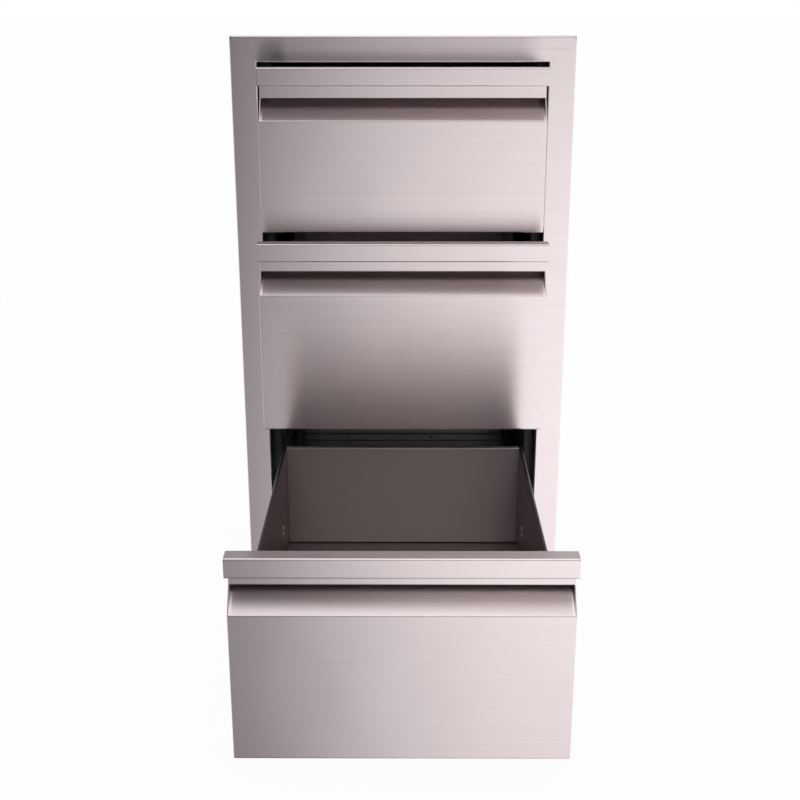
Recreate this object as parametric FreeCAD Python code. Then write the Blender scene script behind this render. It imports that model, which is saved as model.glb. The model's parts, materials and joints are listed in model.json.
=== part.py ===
import FreeCAD, Part
import math
import os

V = FreeCAD.Vector
X = V(1, 0, 0)
Y = V(0, 1, 0)

# Built-in outdoor kitchen drawer unit: a face frame with a sheet-metal case behind it and
# three drawers on telescopic ball slides. Millimetres, +Z up, the fronts look along -Y.
# The origin is the centre of the case's underside, which rests on the floor of the cut-out.

# Face frame
frame_width = 432.0
frame_height = 765.0
stile_width = 33.4
rail_width = 31.4
frame_sheet = 1.2
frame_edge_return = 8.0
frame_collar_depth = 20.0
frame_bend_radius = 0.7
stud_radius = 2.0
stud_length = 6.2
stud_pitch = 150.0
stud_end_inset = 30.0

# Case behind the frame
case_margin = 8.0
case_rear_room = 18.0
case_sheet = 1.0
case_bend_radius = 1.0
case_front_flange = 14.0
case_turned_edge = 12.0
anchor_hole_radius = 2.75
anchor_front_setback = 105.0
anchor_rear_setback = 295.0
anchor_end_inset = 60.0

# Stiffening rail across the inside of the back panel
back_rail_height = 13.0
back_rail_depth = 6.0
back_rail_length = 340.0
back_rail_above_floor = 56.0
back_rail_rivet_x = (-94.0, 48.0)

# Posts that carry the slides: hat sections riveted to the case walls
post_sheet = 1.2
post_bend_radius = 1.2
post_web = 36.0
post_foot = 12.0
post_front_inset = 9.0
post_rear_inset = 28.0
post_end_gap = 0.3
post_rivet_end_inset = 44.0

# Drawer fronts: how far they stand out of the face and reach into the opening
front_stand_out = 20.5
front_reach_in = 14.0
front_sheet = 1.2
front_bend_radius = 0.8
front_edge_radius = 1.0
front_side_gap = 2.1
front_end_gap = 5.5
front_gap = 2.4
front_proportions = (205.6, 243.9, 236.9)

# Handle: a square bar along the top edge with a finger lip hanging under it
bar_height = 22.6
bar_stand_out = 20.2
bar_depth = 20.9
handle_sheet = 1.2
handle_bend_radius = 0.7
handle_side_gap = 0.8
lip_stand_out = 2.0
lip_drop = 38.5
lip_hem_gap = 0.2
lip_hem_height = 7.0
handle_rear_flange = 12.0
end_cap_sheet = 1.2
handle_fit = 0.1

# Finger pocket behind and below the lip
pocket_mouth_drop = 64.9
pocket_floor_slope = 37.0
pocket_wall_low_drop = 32.0
pocket_wall_high_drop = 13.2
cheek_corner_radius = 1.0

# Drawer boxes
tray_side_room = 26.1
tray_top_drop = 35.2
tray_floor_height = 62.9
tray_sheet = 1.0
tray_bend_radius = 1.5
tray_hem_width = 4.0
tray_hem_drop = 8.0
tray_hem_radius = 0.5
tray_front_flange = 10.0
tray_rear_gap = 1.5
box_back_inset = 12.0
box_back_gap = 0.4
box_back_flange = 11.0
box_back_hem = 8.0
box_back_hem_drop = 5.0
inner_front_sheet = 1.0

# Telescopic slides, each a cabinet member, an intermediate member and a drawer member
slide_thickness = 12.7
slide_sheet = 1.2
slide_bend_radius = 0.5
slide_front_setback = 17.0
slide_length = 385.0
slide_above_floor = 50.5
cabinet_member_height = 45.7
cabinet_member_depth = 9.5
middle_member_height = 34.8
middle_member_depth = 8.6
middle_member_inset = 3.0
drawer_member_height = 24.4
drawer_member_depth = 7.7

# Ball cages that run between the slide members
cage_length = 130.0
cage_end_inset = 10.0
cage_sheet = 0.6
cage_width = 6.0
cage_inset = 0.3
ball_count = 4
ball_end_inset = 11.0
ball_seat_gap = 0.1
outer_ball_radius = 1.75
inner_ball_radius = 1.65

# Fasteners
rivet_shank_radius = 1.6
rivet_head_radius = 3.2
rivet_head_height = 1.3
rivet_bulb_radius = 2.4
rivet_bulb_height = 1.3
screw_radius = 2.0
screw_head_radius = 3.5
screw_head_height = 1.2
screw_tail = 3.0
head_rounding = 0.6
nut_across_flats = 7.0
nut_height = 3.2
stud_hole_clearance = 0.2
hole_clearance = 0.05
slide_rivet_insets = (53.0, 87.0)
slide_rivet_spread = 9.0
flange_rivet_above_floor = 12.0
flange_rivet_above_mouth = 2.2
floor_rivet_x = 100.0
post_screw_spread = 14.0
back_screw_pitch = 170.0

# Drawer motion: the slides open further than their own length, and the drawers are stored
# as in the photograph: shut, partly open and fully open
slide_over_travel = 55.0
middle_opening = 63.0
drawer_names = ("top", "middle", "bottom")
sides = ("left", "right")

# Places worked out from the sizes above
opening_width = frame_width - 2 * stile_width
opening_height = frame_height - 2 * rail_width
case_width = opening_width + 2 * case_margin
case_height = opening_height + 2 * case_margin
case_wall_x = case_width / 2 - case_sheet
slide_rear_setback = slide_front_setback + slide_length
case_inner_depth = slide_rear_setback + case_rear_room
face_y = -(case_inner_depth + case_sheet + frame_sheet) / 2
frame_back_y = face_y + frame_sheet
back_panel_y = face_y + case_inner_depth
case_rear_y = back_panel_y + case_sheet
frame_bottom_z = case_margin - rail_width
frame_top_z = frame_bottom_z + frame_height
opening_bottom_z = frame_bottom_z + rail_width
opening_top_z = frame_top_z - rail_width
front_half = opening_width / 2 - front_side_gap
handle_half = opening_width / 2 - handle_side_gap
tray_half = opening_width / 2 - tray_side_room
post_face_x = tray_half + slide_thickness
tray_front_y = face_y + front_reach_in + inner_front_sheet
slide_front_y = face_y + slide_front_setback
tray_rear_setback = slide_rear_setback - tray_rear_gap
box_back_setback = tray_rear_setback - box_back_inset
fronts_height = opening_height - 2 * front_end_gap - 2 * front_gap
front_heights = [fronts_height * share / sum(front_proportions) for share in front_proportions]
stored_opening = (0.0, middle_opening, slide_length + slide_over_travel)


def front_top_z(i):
    return opening_top_z - front_end_gap - sum(front_heights[:i]) - i * front_gap


def tray_floor_z(i):
    return front_top_z(i) - front_heights[i] + tray_floor_height


def tray_top_z(i):
    return front_top_z(i) - tray_top_drop


def slide_z(i):
    return tray_floor_z(i) + slide_above_floor


# Drawing helpers

def box(x0, x1, y0, y1, z0, z1):
    return Part.makeBox(x1 - x0, y1 - y0, z1 - z0, V(x0, y0, z0))


def cylinder(radius, start, end):
    axis = end.sub(start)
    return Part.makeCylinder(radius, axis.Length, start, axis)


def on_side(shape, side):
    """A shape drawn on the right, at +X, or its mirror image on the left."""
    return shape if side == "right" else shape.mirror(V(0, 0, 0), X)


def side_sign(side):
    return 1 if side == "right" else -1


def near(a, b):
    return abs(a - b) < 1e-4


def spread(low, high, pitch):
    """Even places from low to high, no further apart than the pitch."""
    count = max(1, math.ceil((high - low) / pitch))
    return [low + (high - low) * i / count for i in range(count + 1)]


def heading(a, b):
    length = math.hypot(b[0] - a[0], b[1] - a[1])
    return ((b[0] - a[0]) / length, (b[1] - a[1]) / length)


def rounded_edges(points, radii, place):
    """Straight edges through the points, with an arc of its radius at each inner point."""
    edges = []
    start = points[0]
    for i in range(1, len(points) - 1):
        corner = points[i]
        d1 = heading(points[i - 1], corner)
        d2 = heading(corner, points[i + 1])
        turn = math.acos(max(-1.0, min(1.0, d1[0] * d2[0] + d1[1] * d2[1])))
        reach = radii[i] * math.tan(turn / 2)
        first = (corner[0] - d1[0] * reach, corner[1] - d1[1] * reach)
        last = (corner[0] + d2[0] * reach, corner[1] + d2[1] * reach)
        edges.append(Part.LineSegment(place(start), place(first)).toShape())
        if radii[i] > 0:
            inward = heading(d1, d2)
            sagitta = radii[i] / math.cos(turn / 2) - radii[i]
            middle = (corner[0] + inward[0] * sagitta, corner[1] + inward[1] * sagitta)
            edges.append(Part.Arc(place(first), place(middle), place(last)).toShape())
        start = last
    edges.append(Part.LineSegment(place(start), place(points[-1])).toShape())
    return edges


def moved_right(points, distance):
    """The line moved to its right-hand side, with mitred corners."""
    normals = []
    for a, b in zip(points, points[1:]):
        d = heading(a, b)
        normals.append((d[1], -d[0]))
    line = []
    for i, point in enumerate(points):
        n1 = normals[max(i - 1, 0)]
        n2 = normals[min(i, len(normals) - 1)]
        share = distance / (1 + n1[0] * n2[0] + n1[1] * n2[1])
        line.append((point[0] + (n1[0] + n2[0]) * share, point[1] + (n1[1] + n2[1]) * share))
    return line


def drawing_plane(plane, low, high):
    """Where a point of a flat drawing lies in space, and the run of its extrusion."""
    if plane == "yz":
        return (lambda p: V(low, p[0], p[1])), V(high - low, 0, 0)
    if plane == "xz":
        return (lambda p: V(p[0], low, p[1])), V(0, high - low, 0)
    return (lambda p: V(p[0], p[1], low)), V(0, 0, high - low)


def bent_sheet(points, thickness, radii, plane, low, high):
    """A folded sheet. The line is one face and the metal lies to its right. The radii are the
    inside radii of the bends at the inner points of the line."""
    place, run = drawing_plane(plane, low, high)
    near_radii = [0.0] * len(points)
    far_radii = [0.0] * len(points)
    for i in range(1, len(points) - 1):
        d1 = heading(points[i - 1], points[i])
        d2 = heading(points[i], points[i + 1])
        turns_right = d1[0] * d2[1] - d1[1] * d2[0] < 0
        near_radii[i] = radii[i - 1] + (thickness if turns_right else 0.0)
        far_radii[i] = radii[i - 1] + (0.0 if turns_right else thickness)
    other = moved_right(points, thickness)
    edges = rounded_edges(points, near_radii, place)
    edges.append(Part.LineSegment(place(points[-1]), place(other[-1])).toShape())
    edges += rounded_edges(other[::-1], far_radii[::-1], place)
    edges.append(Part.LineSegment(place(other[0]), place(points[0])).toShape())
    return Part.Face(Part.Wire(edges)).extrude(run)


def plate(points, radii, plane, low, high):
    """A flat plate with a closed outline, each corner rounded by its radius."""
    place, run = drawing_plane(plane, low, high)
    start = ((points[0][0] + points[-1][0]) / 2, (points[0][1] + points[-1][1]) / 2)
    edges = rounded_edges([start] + list(points) + [start], [0.0] + list(radii) + [0.0], place)
    return Part.Face(Part.Wire(edges)).extrude(run)


def fillet_where(shape, radius, chosen):
    return shape.makeFillet(radius, [e for e in shape.Edges if chosen(e)])


def drilled(shape, places, radius, axis, reach):
    """Round holes through every sheet that lies within the reach of the places."""
    return shape.cut([cylinder(radius, p.sub(axis * reach), p.add(axis * reach)) for p in places])


def headed_pin(start, axis, head_radius, head_height, pin_radius, length):
    """A low rounded head on the point, and a pin that runs along the axis from it."""
    head = cylinder(head_radius, start.sub(axis * head_height), start)
    head = fillet_where(head, head_height * head_rounding,
                        lambda e: len(e.Vertexes) == 1 and e.BoundBox.Center.sub(start).dot(axis) < -1e-4)
    return head.fuse(cylinder(pin_radius, start, start.add(axis * length)))


def rivet(start, axis, grip):
    pin = headed_pin(start, axis, rivet_head_radius, rivet_head_height, rivet_shank_radius,
                     grip + rivet_bulb_height)
    bulb = cylinder(rivet_bulb_radius, start.add(axis * grip), start.add(axis * (grip + rivet_bulb_height)))
    return pin.fuse(bulb)


def screw(start, axis, grip):
    return headed_pin(start, axis, screw_head_radius, screw_head_height, screw_radius, grip + screw_tail)


def save(shape, node):
    shape.exportStep("parts/" + node + ".step")


# Places of fasteners, shared by the pieces that they join

def stud_places():
    x = case_width / 2 + case_front_flange / 2
    heights = spread(stud_end_inset, case_height - stud_end_inset, stud_pitch)
    widths = spread(-case_width / 4, case_width / 4, stud_pitch)
    beside = [V(s * x, frame_back_y, z) for s in (-1, 1) for z in heights]
    ends = (-case_front_flange / 2, case_height + case_front_flange / 2)
    return beside + [V(x, frame_back_y, z) for x in widths for z in ends]


def post_starts():
    length = 2 * post_foot + post_web
    return (("front", face_y + slide_front_setback + post_front_inset),
            ("rear", face_y + slide_rear_setback - post_rear_inset - length))


def post_rivet_places(side):
    feet = [start + along for _, start in post_starts()
            for along in (post_foot / 2, post_foot * 1.5 + post_web)]
    heights = (post_rivet_end_inset, case_height / 2, case_height - post_rivet_end_inset)
    return [V(side_sign(side) * case_width / 2, y, z) for y in feet for z in heights]


def post_screw_places(side, i):
    centers = [start + post_foot + post_web / 2 for _, start in post_starts()]
    return [V(side_sign(side) * (post_face_x - slide_sheet), y + dy, slide_z(i))
            for y in centers for dy in (-post_screw_spread / 2, post_screw_spread / 2)]


def back_screw_places():
    x = case_wall_x - case_turned_edge / 2
    heights = spread(stud_end_inset, case_height - stud_end_inset, back_screw_pitch)
    return [V(s * x, case_rear_y, z) for s in (-1, 1) for z in heights]


def back_rail_rivet_places():
    return [V(x, case_rear_y, back_rail_above_floor) for x in back_rail_rivet_x]


def anchor_places(side):
    """Holes through which the case is screwed to the sides of the cut-out."""
    return [V(side_sign(side) * case_width / 2, face_y + y, z)
            for y in (anchor_front_setback, anchor_rear_setback)
            for z in (anchor_end_inset, case_height - anchor_end_inset)]


def slide_rivet_places(side, i):
    setbacks = (slide_front_setback + slide_rivet_insets[0], slide_rear_setback - slide_rivet_insets[1])
    return [V(side_sign(side) * (tray_half - tray_sheet), face_y + y, slide_z(i) + dz)
            for y in setbacks for dz in (-slide_rivet_spread / 2, slide_rivet_spread / 2)]


def flange_rivet_places(i):
    """Rivets that hold the tray's front flanges to the inner front."""
    x = tray_half + tray_front_flange / 2
    y = tray_front_y + tray_sheet
    heights = (tray_floor_z(i) + flange_rivet_above_floor,
               front_top_z(i) - pocket_mouth_drop + flange_rivet_above_mouth)
    beside = [V(s * x, y, z) for s in (-1, 1) for z in heights]
    below = tray_floor_z(i) - tray_sheet - tray_front_flange / 2
    return beside + [V(s * floor_rivet_x, y, below) for s in (-1, 1)]


# Face frame and case

def on_opening_edge(edge):
    c = edge.BoundBox.Center
    upright = near(abs(c.x), opening_width / 2) and opening_bottom_z < c.z < opening_top_z
    level = (near(c.z, opening_bottom_z) or near(c.z, opening_top_z)) and abs(c.x) < opening_width / 2
    return near(edge.BoundBox.YMax, face_y) and (upright or level)


def face_frame():
    half = frame_width / 2
    rear = face_y + frame_edge_return
    outer = box(-half, half, face_y, rear, frame_bottom_z, frame_top_z)
    outer = fillet_where(outer, frame_bend_radius + frame_sheet, lambda e: near(e.BoundBox.YMax, face_y))
    inner = box(-half + frame_sheet, half - frame_sheet, frame_back_y, rear + frame_sheet,
                frame_bottom_z + frame_sheet, frame_top_z - frame_sheet)
    inner = fillet_where(inner, frame_bend_radius, lambda e: near(e.BoundBox.YMax, frame_back_y))
    ox = opening_width / 2
    collar = box(-ox - frame_sheet, ox + frame_sheet, face_y, face_y + frame_collar_depth,
                 opening_bottom_z - frame_sheet, opening_top_z + frame_sheet)
    hole = box(-ox, ox, face_y - frame_sheet, face_y + frame_collar_depth + frame_sheet,
               opening_bottom_z, opening_top_z)
    frame = outer.cut(inner).fuse(collar).cut(hole).removeSplitter()
    frame = fillet_where(frame, frame_bend_radius, on_opening_edge)
    studs = [cylinder(stud_radius, p, p.add(Y * stud_length)) for p in stud_places()]
    return frame.fuse(studs)


def case_side(side):
    wall = case_width / 2
    flange_y = frame_back_y + case_sheet
    line = [(wall - case_turned_edge, back_panel_y), (wall, back_panel_y), (wall, flange_y),
            (wall + case_front_flange, flange_y)]
    sheet = bent_sheet(line, case_sheet, [case_bend_radius] * 2, "xy", case_sheet, case_height - case_sheet)
    edge_front = face_y + frame_collar_depth + case_sheet
    edge_rear = back_panel_y - case_turned_edge - case_sheet
    edges = [box(wall - case_turned_edge, wall - case_sheet / 2, edge_front, edge_rear, z, z + case_sheet)
             for z in (case_sheet, case_height - 2 * case_sheet)]
    sheet = on_side(sheet.fuse(edges), side)
    sheet = drilled(sheet, anchor_places(side), anchor_hole_radius, X, case_sheet * 2)
    sheet = drilled(sheet, post_rivet_places(side), rivet_shank_radius + hole_clearance, X, case_sheet * 2)
    sheet = drilled(sheet, stud_places(), stud_radius + stud_hole_clearance, Y, case_sheet * 2)
    return drilled(sheet, back_screw_places(), screw_radius + hole_clearance, Y, case_sheet * 3)


def case_top():
    flange_y = frame_back_y + case_sheet
    line = [(flange_y, case_height + case_front_flange), (flange_y, case_height), (back_panel_y, case_height)]
    sheet = bent_sheet(line, case_sheet, [case_bend_radius], "yz", -case_width / 2, case_width / 2)
    return drilled(sheet, stud_places(), stud_radius + stud_hole_clearance, Y, case_sheet * 2)


def case_bottom():
    flange_y = frame_back_y + case_sheet
    line = [(back_panel_y, 0.0), (flange_y, 0.0), (flange_y, -case_front_flange)]
    sheet = bent_sheet(line, case_sheet, [case_bend_radius], "yz", -case_width / 2, case_width / 2)
    return drilled(sheet, stud_places(), stud_radius + stud_hole_clearance, Y, case_sheet * 2)


def case_back():
    panel = box(-case_width / 2, case_width / 2, back_panel_y, case_rear_y, 0.0, case_height)
    panel = drilled(panel, back_screw_places(), screw_radius + hole_clearance, Y, case_sheet * 2)
    return drilled(panel, back_rail_rivet_places(), rivet_shank_radius + hole_clearance, Y, case_sheet * 2)


def rear_cross_rail():
    low = back_rail_above_floor - back_rail_height / 2
    high = low + back_rail_height
    lip_y = back_panel_y - back_rail_depth
    line = [(lip_y, high), (back_panel_y, high), (back_panel_y, low), (lip_y, low)]
    rail = bent_sheet(line, case_sheet, [case_bend_radius] * 2, "yz", -back_rail_length / 2, back_rail_length / 2)
    return drilled(rail, back_rail_rivet_places(), rivet_shank_radius + hole_clearance, Y, case_sheet * 3)


def slide_post(side, start):
    foot_x = case_wall_x - post_sheet
    web_start = start + post_foot
    web_end = web_start + post_web
    line = [(foot_x, start), (foot_x, web_start), (post_face_x, web_start), (post_face_x, web_end),
            (foot_x, web_end), (foot_x, web_end + post_foot)]
    low = 2 * case_sheet + post_end_gap
    post = bent_sheet(line, post_sheet, [post_bend_radius] * 4, "xy", low, case_height - low)
    post = on_side(post, side)
    post = drilled(post, post_rivet_places(side), rivet_shank_radius + hole_clearance, X, post_sheet * 3)
    for i in range(len(drawer_names)):
        post = drilled(post, post_screw_places(side, i), screw_radius + hole_clearance, X, post_sheet * 3)
    return post


# Slides

def channel(open_x, web_x, height, z):
    """A slide member's C section: its web at web_x and its open side at open_x."""
    half = height / 2
    line = [(open_x, z + half), (web_x, z + half), (web_x, z - half), (open_x, z - half)]
    if open_x > web_x:
        line = line[::-1]
    bends = [slide_bend_radius] * 2
    return bent_sheet(line, slide_sheet, bends, "xz", slide_front_y, slide_front_y + slide_length)


def cabinet_member(side, i):
    member = channel(post_face_x - cabinet_member_depth, post_face_x, cabinet_member_height, slide_z(i))
    member = on_side(member, side)
    return drilled(member, post_screw_places(side, i), screw_radius + hole_clearance, X, slide_sheet * 2)


def middle_member(side, i):
    web_x = post_face_x - middle_member_inset
    return on_side(channel(web_x - middle_member_depth, web_x, middle_member_height, slide_z(i)), side)


def drawer_member(side, i):
    member = channel(tray_half + drawer_member_depth, tray_half, drawer_member_height, slide_z(i))
    member = on_side(member, side)
    return drilled(member, slide_rivet_places(side, i), rivet_shank_radius + hole_clearance, X, slide_sheet * 3)


def ball_row(x, y0, z, radius, low_x):
    """A cage strip with its balls: the strip is level and each ball fills a hole in it."""
    strip = box(low_x, low_x + cage_width, y0, y0 + cage_length, z - cage_sheet / 2, z + cage_sheet / 2)
    centers = spread(y0 + ball_end_inset, y0 + cage_length - ball_end_inset,
                     (cage_length - 2 * ball_end_inset) / (ball_count - 1))
    strip = strip.cut([cylinder(radius + ball_seat_gap, V(x, y, z - radius), V(x, y, z + radius)) for y in centers])
    return [strip] + [Part.makeSphere(radius, V(x, y, z)) for y in centers]


def ball_cages(side, i):
    """The outer cage runs at the rear of the intermediate member, the inner cage at its front."""
    web_x = post_face_x - middle_member_inset
    outer_y = slide_front_y + slide_length - cage_end_inset - cage_length
    inner_y = slide_front_y + cage_end_inset
    outer_z = middle_member_height / 2 + ball_seat_gap + outer_ball_radius
    inner_z = middle_member_height / 2 - slide_sheet - ball_seat_gap - inner_ball_radius
    outer_low = web_x - cage_inset - cage_width
    inner_low = web_x - slide_sheet - cage_inset - cage_width
    solids = []
    for up in (-1, 1):
        z = slide_z(i)
        solids += ball_row(outer_low + cage_width / 2, outer_y, z + up * outer_z, outer_ball_radius, outer_low)
        solids += ball_row(inner_low + cage_width / 2, inner_y, z + up * inner_z, inner_ball_radius, inner_low)
    return on_side(Part.makeCompound(solids), side)


# Drawers, drawn shut

def profile(points, i):
    """Points given as stand-out from the frame's face and drop below the drawer's top edge."""
    return [(face_y - out, front_top_z(i) - drop) for out, drop in points]


def pocket_floor_rear_drop():
    run = front_stand_out + front_reach_in - front_sheet
    return pocket_mouth_drop - run * math.tan(math.radians(pocket_floor_slope))


def pocket_wall_top_out():
    return bar_stand_out - bar_depth + handle_sheet + front_sheet


def drawer_front(i):
    """One folded sheet: bottom return, panel, finger pocket and the wall behind the handle, with
    side returns whose upper edges are the cheeks of the pocket."""
    wall_out = front_sheet - front_reach_in
    top_out = pocket_wall_top_out()
    height = front_heights[i]
    line = [(-front_reach_in, height), (front_stand_out, height), (front_stand_out, pocket_mouth_drop),
            (wall_out, pocket_floor_rear_drop()), (wall_out, pocket_wall_low_drop),
            (top_out, pocket_wall_high_drop), (top_out, handle_sheet + handle_bend_radius + handle_fit)]
    sheet = bent_sheet(profile(line, i), front_sheet, [front_bend_radius] * 5, "yz", -front_half, front_half)
    bar_rear = bar_stand_out - bar_depth - handle_fit
    bar_low = bar_height + handle_fit
    share = (top_out - bar_rear) / (top_out - wall_out)
    wall_drop = pocket_wall_high_drop + share * (pocket_wall_low_drop - pocket_wall_high_drop)
    outline = [(-front_reach_in, height), (front_stand_out, height), (front_stand_out, pocket_mouth_drop),
               (lip_stand_out, lip_drop), (lip_stand_out, bar_low), (bar_rear, bar_low),
               (bar_rear, wall_drop), (wall_out, pocket_wall_low_drop), (-front_reach_in, pocket_wall_low_drop)]
    bend = front_bend_radius + front_sheet
    radii = [0.0, bend, bend, cheek_corner_radius, 0.0, 0.0, 0.0, 0.0, 0.0]
    cheek = plate(profile(outline, i), radii, "yz", front_half - front_sheet, front_half)
    front = sheet.fuse([cheek, on_side(cheek, "left")]).removeSplitter()
    return fillet_where(front, front_edge_radius, lambda e: on_front_side_edge(e, i))


def on_front_side_edge(edge, i):
    """The upright edges of the panel, and the sloping and upright front edges of the cheeks."""
    b = edge.BoundBox
    outer = near(b.XMin, b.XMax) and near(abs(b.XMin), front_half)
    low = front_top_z(i) - front_heights[i] + front_bend_radius
    high = front_top_z(i) - bar_height - 2 * handle_fit
    return outer and b.YMax < face_y - lip_stand_out + 1e-4 and b.ZMin > low and b.ZMax < high + front_bend_radius


def handle(i):
    """The bar and the lip are one folded strip. The lip fits between the cheeks of the pocket."""
    hem_out = lip_stand_out - 2 * handle_sheet - lip_hem_gap
    line = [(hem_out, lip_drop - lip_hem_height), (hem_out, lip_drop), (lip_stand_out, lip_drop),
            (lip_stand_out, bar_height), (bar_stand_out, bar_height), (bar_stand_out, 0.0),
            (bar_stand_out - bar_depth, 0.0), (bar_stand_out - bar_depth, handle_rear_flange)]
    hem = lip_hem_gap / 4
    bends = [hem, hem] + [handle_bend_radius] * 4
    half = handle_half - end_cap_sheet
    strip = bent_sheet(profile(line, i), handle_sheet, bends, "yz", -half, half)
    lip_half = front_half - front_sheet - handle_fit
    top = front_top_z(i)
    trims = [box(min(a, b), max(a, b), face_y - lip_stand_out - handle_sheet, face_y + handle_sheet,
                 top - lip_drop - handle_sheet, top - bar_height)
             for a, b in ((lip_half, handle_half), (-handle_half, -lip_half))]
    return strip.cut(trims)


def handle_end_caps(i):
    rear = bar_stand_out - bar_depth
    corners = [(rear, 0.0), (bar_stand_out, 0.0), (bar_stand_out, bar_height), (rear, bar_height)]
    bend = handle_bend_radius + handle_sheet
    radii = [bend, bend, bend, handle_bend_radius]
    cap = plate(profile(corners, i), radii, "yz", handle_half - end_cap_sheet, handle_half)
    return Part.makeCompound([cap, on_side(cap, "left")])


def inner_front(i):
    top = front_top_z(i)
    sheet = box(-front_half, front_half, face_y + front_reach_in, tray_front_y,
                top - front_heights[i], top - pocket_wall_low_drop)
    return drilled(sheet, flange_rivet_places(i), rivet_shank_radius + hole_clearance, Y, tray_sheet * 3)


def tray(i):
    """Floor and sides bent from one sheet, the side tops hemmed outwards, with front flanges."""
    floor = tray_floor_z(i)
    top = tray_top_z(i)
    inner = tray_half - tray_sheet
    hem = inner + tray_hem_width
    line = [(-hem, top - tray_hem_drop), (-hem, top), (-inner, top), (-inner, floor),
            (inner, floor), (inner, top), (hem, top), (hem, top - tray_hem_drop)]
    bends = [tray_hem_radius, tray_hem_radius, tray_bend_radius, tray_bend_radius,
             tray_hem_radius, tray_hem_radius]
    rear_y = face_y + tray_rear_setback
    sheet = bent_sheet(line, tray_sheet, bends, "xz", tray_front_y, rear_y)
    flange_y = tray_front_y + tray_sheet
    flange = box(inner, tray_half + tray_front_flange, tray_front_y, flange_y,
                 floor + tray_bend_radius, top - tray_hem_drop)
    apron = box(-inner + tray_bend_radius, inner - tray_bend_radius, tray_front_y, flange_y,
                floor - tray_sheet - tray_front_flange, floor)
    sheet = sheet.fuse([flange, on_side(flange, "left"), apron]).removeSplitter()
    hole = rivet_shank_radius + hole_clearance
    for side in sides:
        sheet = drilled(sheet, slide_rivet_places(side, i), hole, X, tray_sheet * 2)
    return drilled(sheet, flange_rivet_places(i), hole, Y, tray_sheet * 2)


def box_back(i):
    """The upright back of the drawer box: its sides and foot are flanged to the rear, its top hemmed."""
    front_y = face_y + box_back_setback
    low = tray_floor_z(i) + box_back_gap
    top = tray_top_z(i)
    half = tray_half - tray_sheet - box_back_gap
    line = [(front_y + box_back_flange, low), (front_y, low), (front_y, top), (front_y + box_back_hem, top),
            (front_y + box_back_hem, top - box_back_hem_drop)]
    panel = bent_sheet(line, tray_sheet, [tray_hem_radius] * 3, "yz", -half, half)
    corner = tray_bend_radius
    foot = [box(min(a, b), max(a, b), front_y, front_y + box_back_flange + tray_sheet, low, low + corner)
            for a, b in ((half - corner, half), (-half, -half + corner))]
    flange = box(half - tray_sheet, half, front_y, front_y + box_back_flange,
                 low + corner, top - box_back_hem_drop)
    return panel.cut(foot).fuse([flange, on_side(flange, "left")]).removeSplitter()


# Groups of identical fasteners

def frame_nuts():
    start_y = frame_back_y + case_sheet
    solids = []
    for p in stud_places():
        corners = [(p.x + nut_across_flats / math.sqrt(3) * math.cos(math.radians(60 * k)),
                    p.z + nut_across_flats / math.sqrt(3) * math.sin(math.radians(60 * k))) for k in range(6)]
        nut = plate(corners, [0.0] * 6, "xz", start_y, start_y + nut_height)
        solids.append(drilled(nut, [p], stud_radius + hole_clearance, Y, 4 * nut_height))
    return Part.makeCompound(solids)


def case_rivets():
    solids = [rivet(p, X * -side_sign(side), case_sheet + post_sheet)
              for side in sides for p in post_rivet_places(side)]
    solids += [rivet(p, Y * -1, 2 * case_sheet) for p in back_rail_rivet_places()]
    return Part.makeCompound(solids)


def back_screws():
    return Part.makeCompound([screw(p, Y * -1, 2 * case_sheet) for p in back_screw_places()])


def slide_screws():
    return Part.makeCompound([screw(p, X * side_sign(side), slide_sheet + post_sheet)
                              for side in sides for i in range(len(drawer_names))
                              for p in post_screw_places(side, i)])


def drawer_rivets(i):
    solids = [rivet(p, X * side_sign(side), tray_sheet + slide_sheet)
              for side in sides for p in slide_rivet_places(side, i)]
    solids += [rivet(p, Y * -1, tray_sheet + inner_front_sheet) for p in flange_rivet_places(i)]
    return Part.makeCompound(solids)


# Everything is written where it stands in the stored pose

def save_cabinet():
    save(face_frame(), "face_frame")
    save(case_top(), "case_top")
    save(case_bottom(), "case_bottom")
    save(case_back(), "case_back")
    save(rear_cross_rail(), "rear_cross_rail")
    save(frame_nuts(), "frame_nuts")
    save(case_rivets(), "case_rivets")
    save(back_screws(), "back_screws")
    save(slide_screws(), "slide_screws")
    for side in sides:
        save(case_side(side), "case_" + side + "_side")
        for place, start in post_starts():
            save(slide_post(side, start), place + "_" + side + "_post")
        for i, name in enumerate(drawer_names):
            save(cabinet_member(side, i), name + "_" + side + "_cabinet_member")


def save_drawer(i, name):
    out = V(0, -stored_opening[i], 0)
    pieces = (("front", drawer_front), ("handle", handle), ("handle_end_caps", handle_end_caps),
              ("inner_front", inner_front), ("tray", tray), ("box_back", box_back), ("rivets", drawer_rivets))
    for piece, make in pieces:
        save(make(i).translated(out), name + "_" + piece)
    for side in sides:
        save(drawer_member(side, i).translated(out), name + "_" + side + "_drawer_member")
        save(middle_member(side, i).translated(out * 0.5), name + "_" + side + "_middle_member")
        save(ball_cages(side, i).translated(out * 0.5), name + "_" + side + "_ball_cages")


os.makedirs("parts", exist_ok=True)
save_cabinet()
for index, drawer in enumerate(drawer_names):
    save_drawer(index, drawer)
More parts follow.
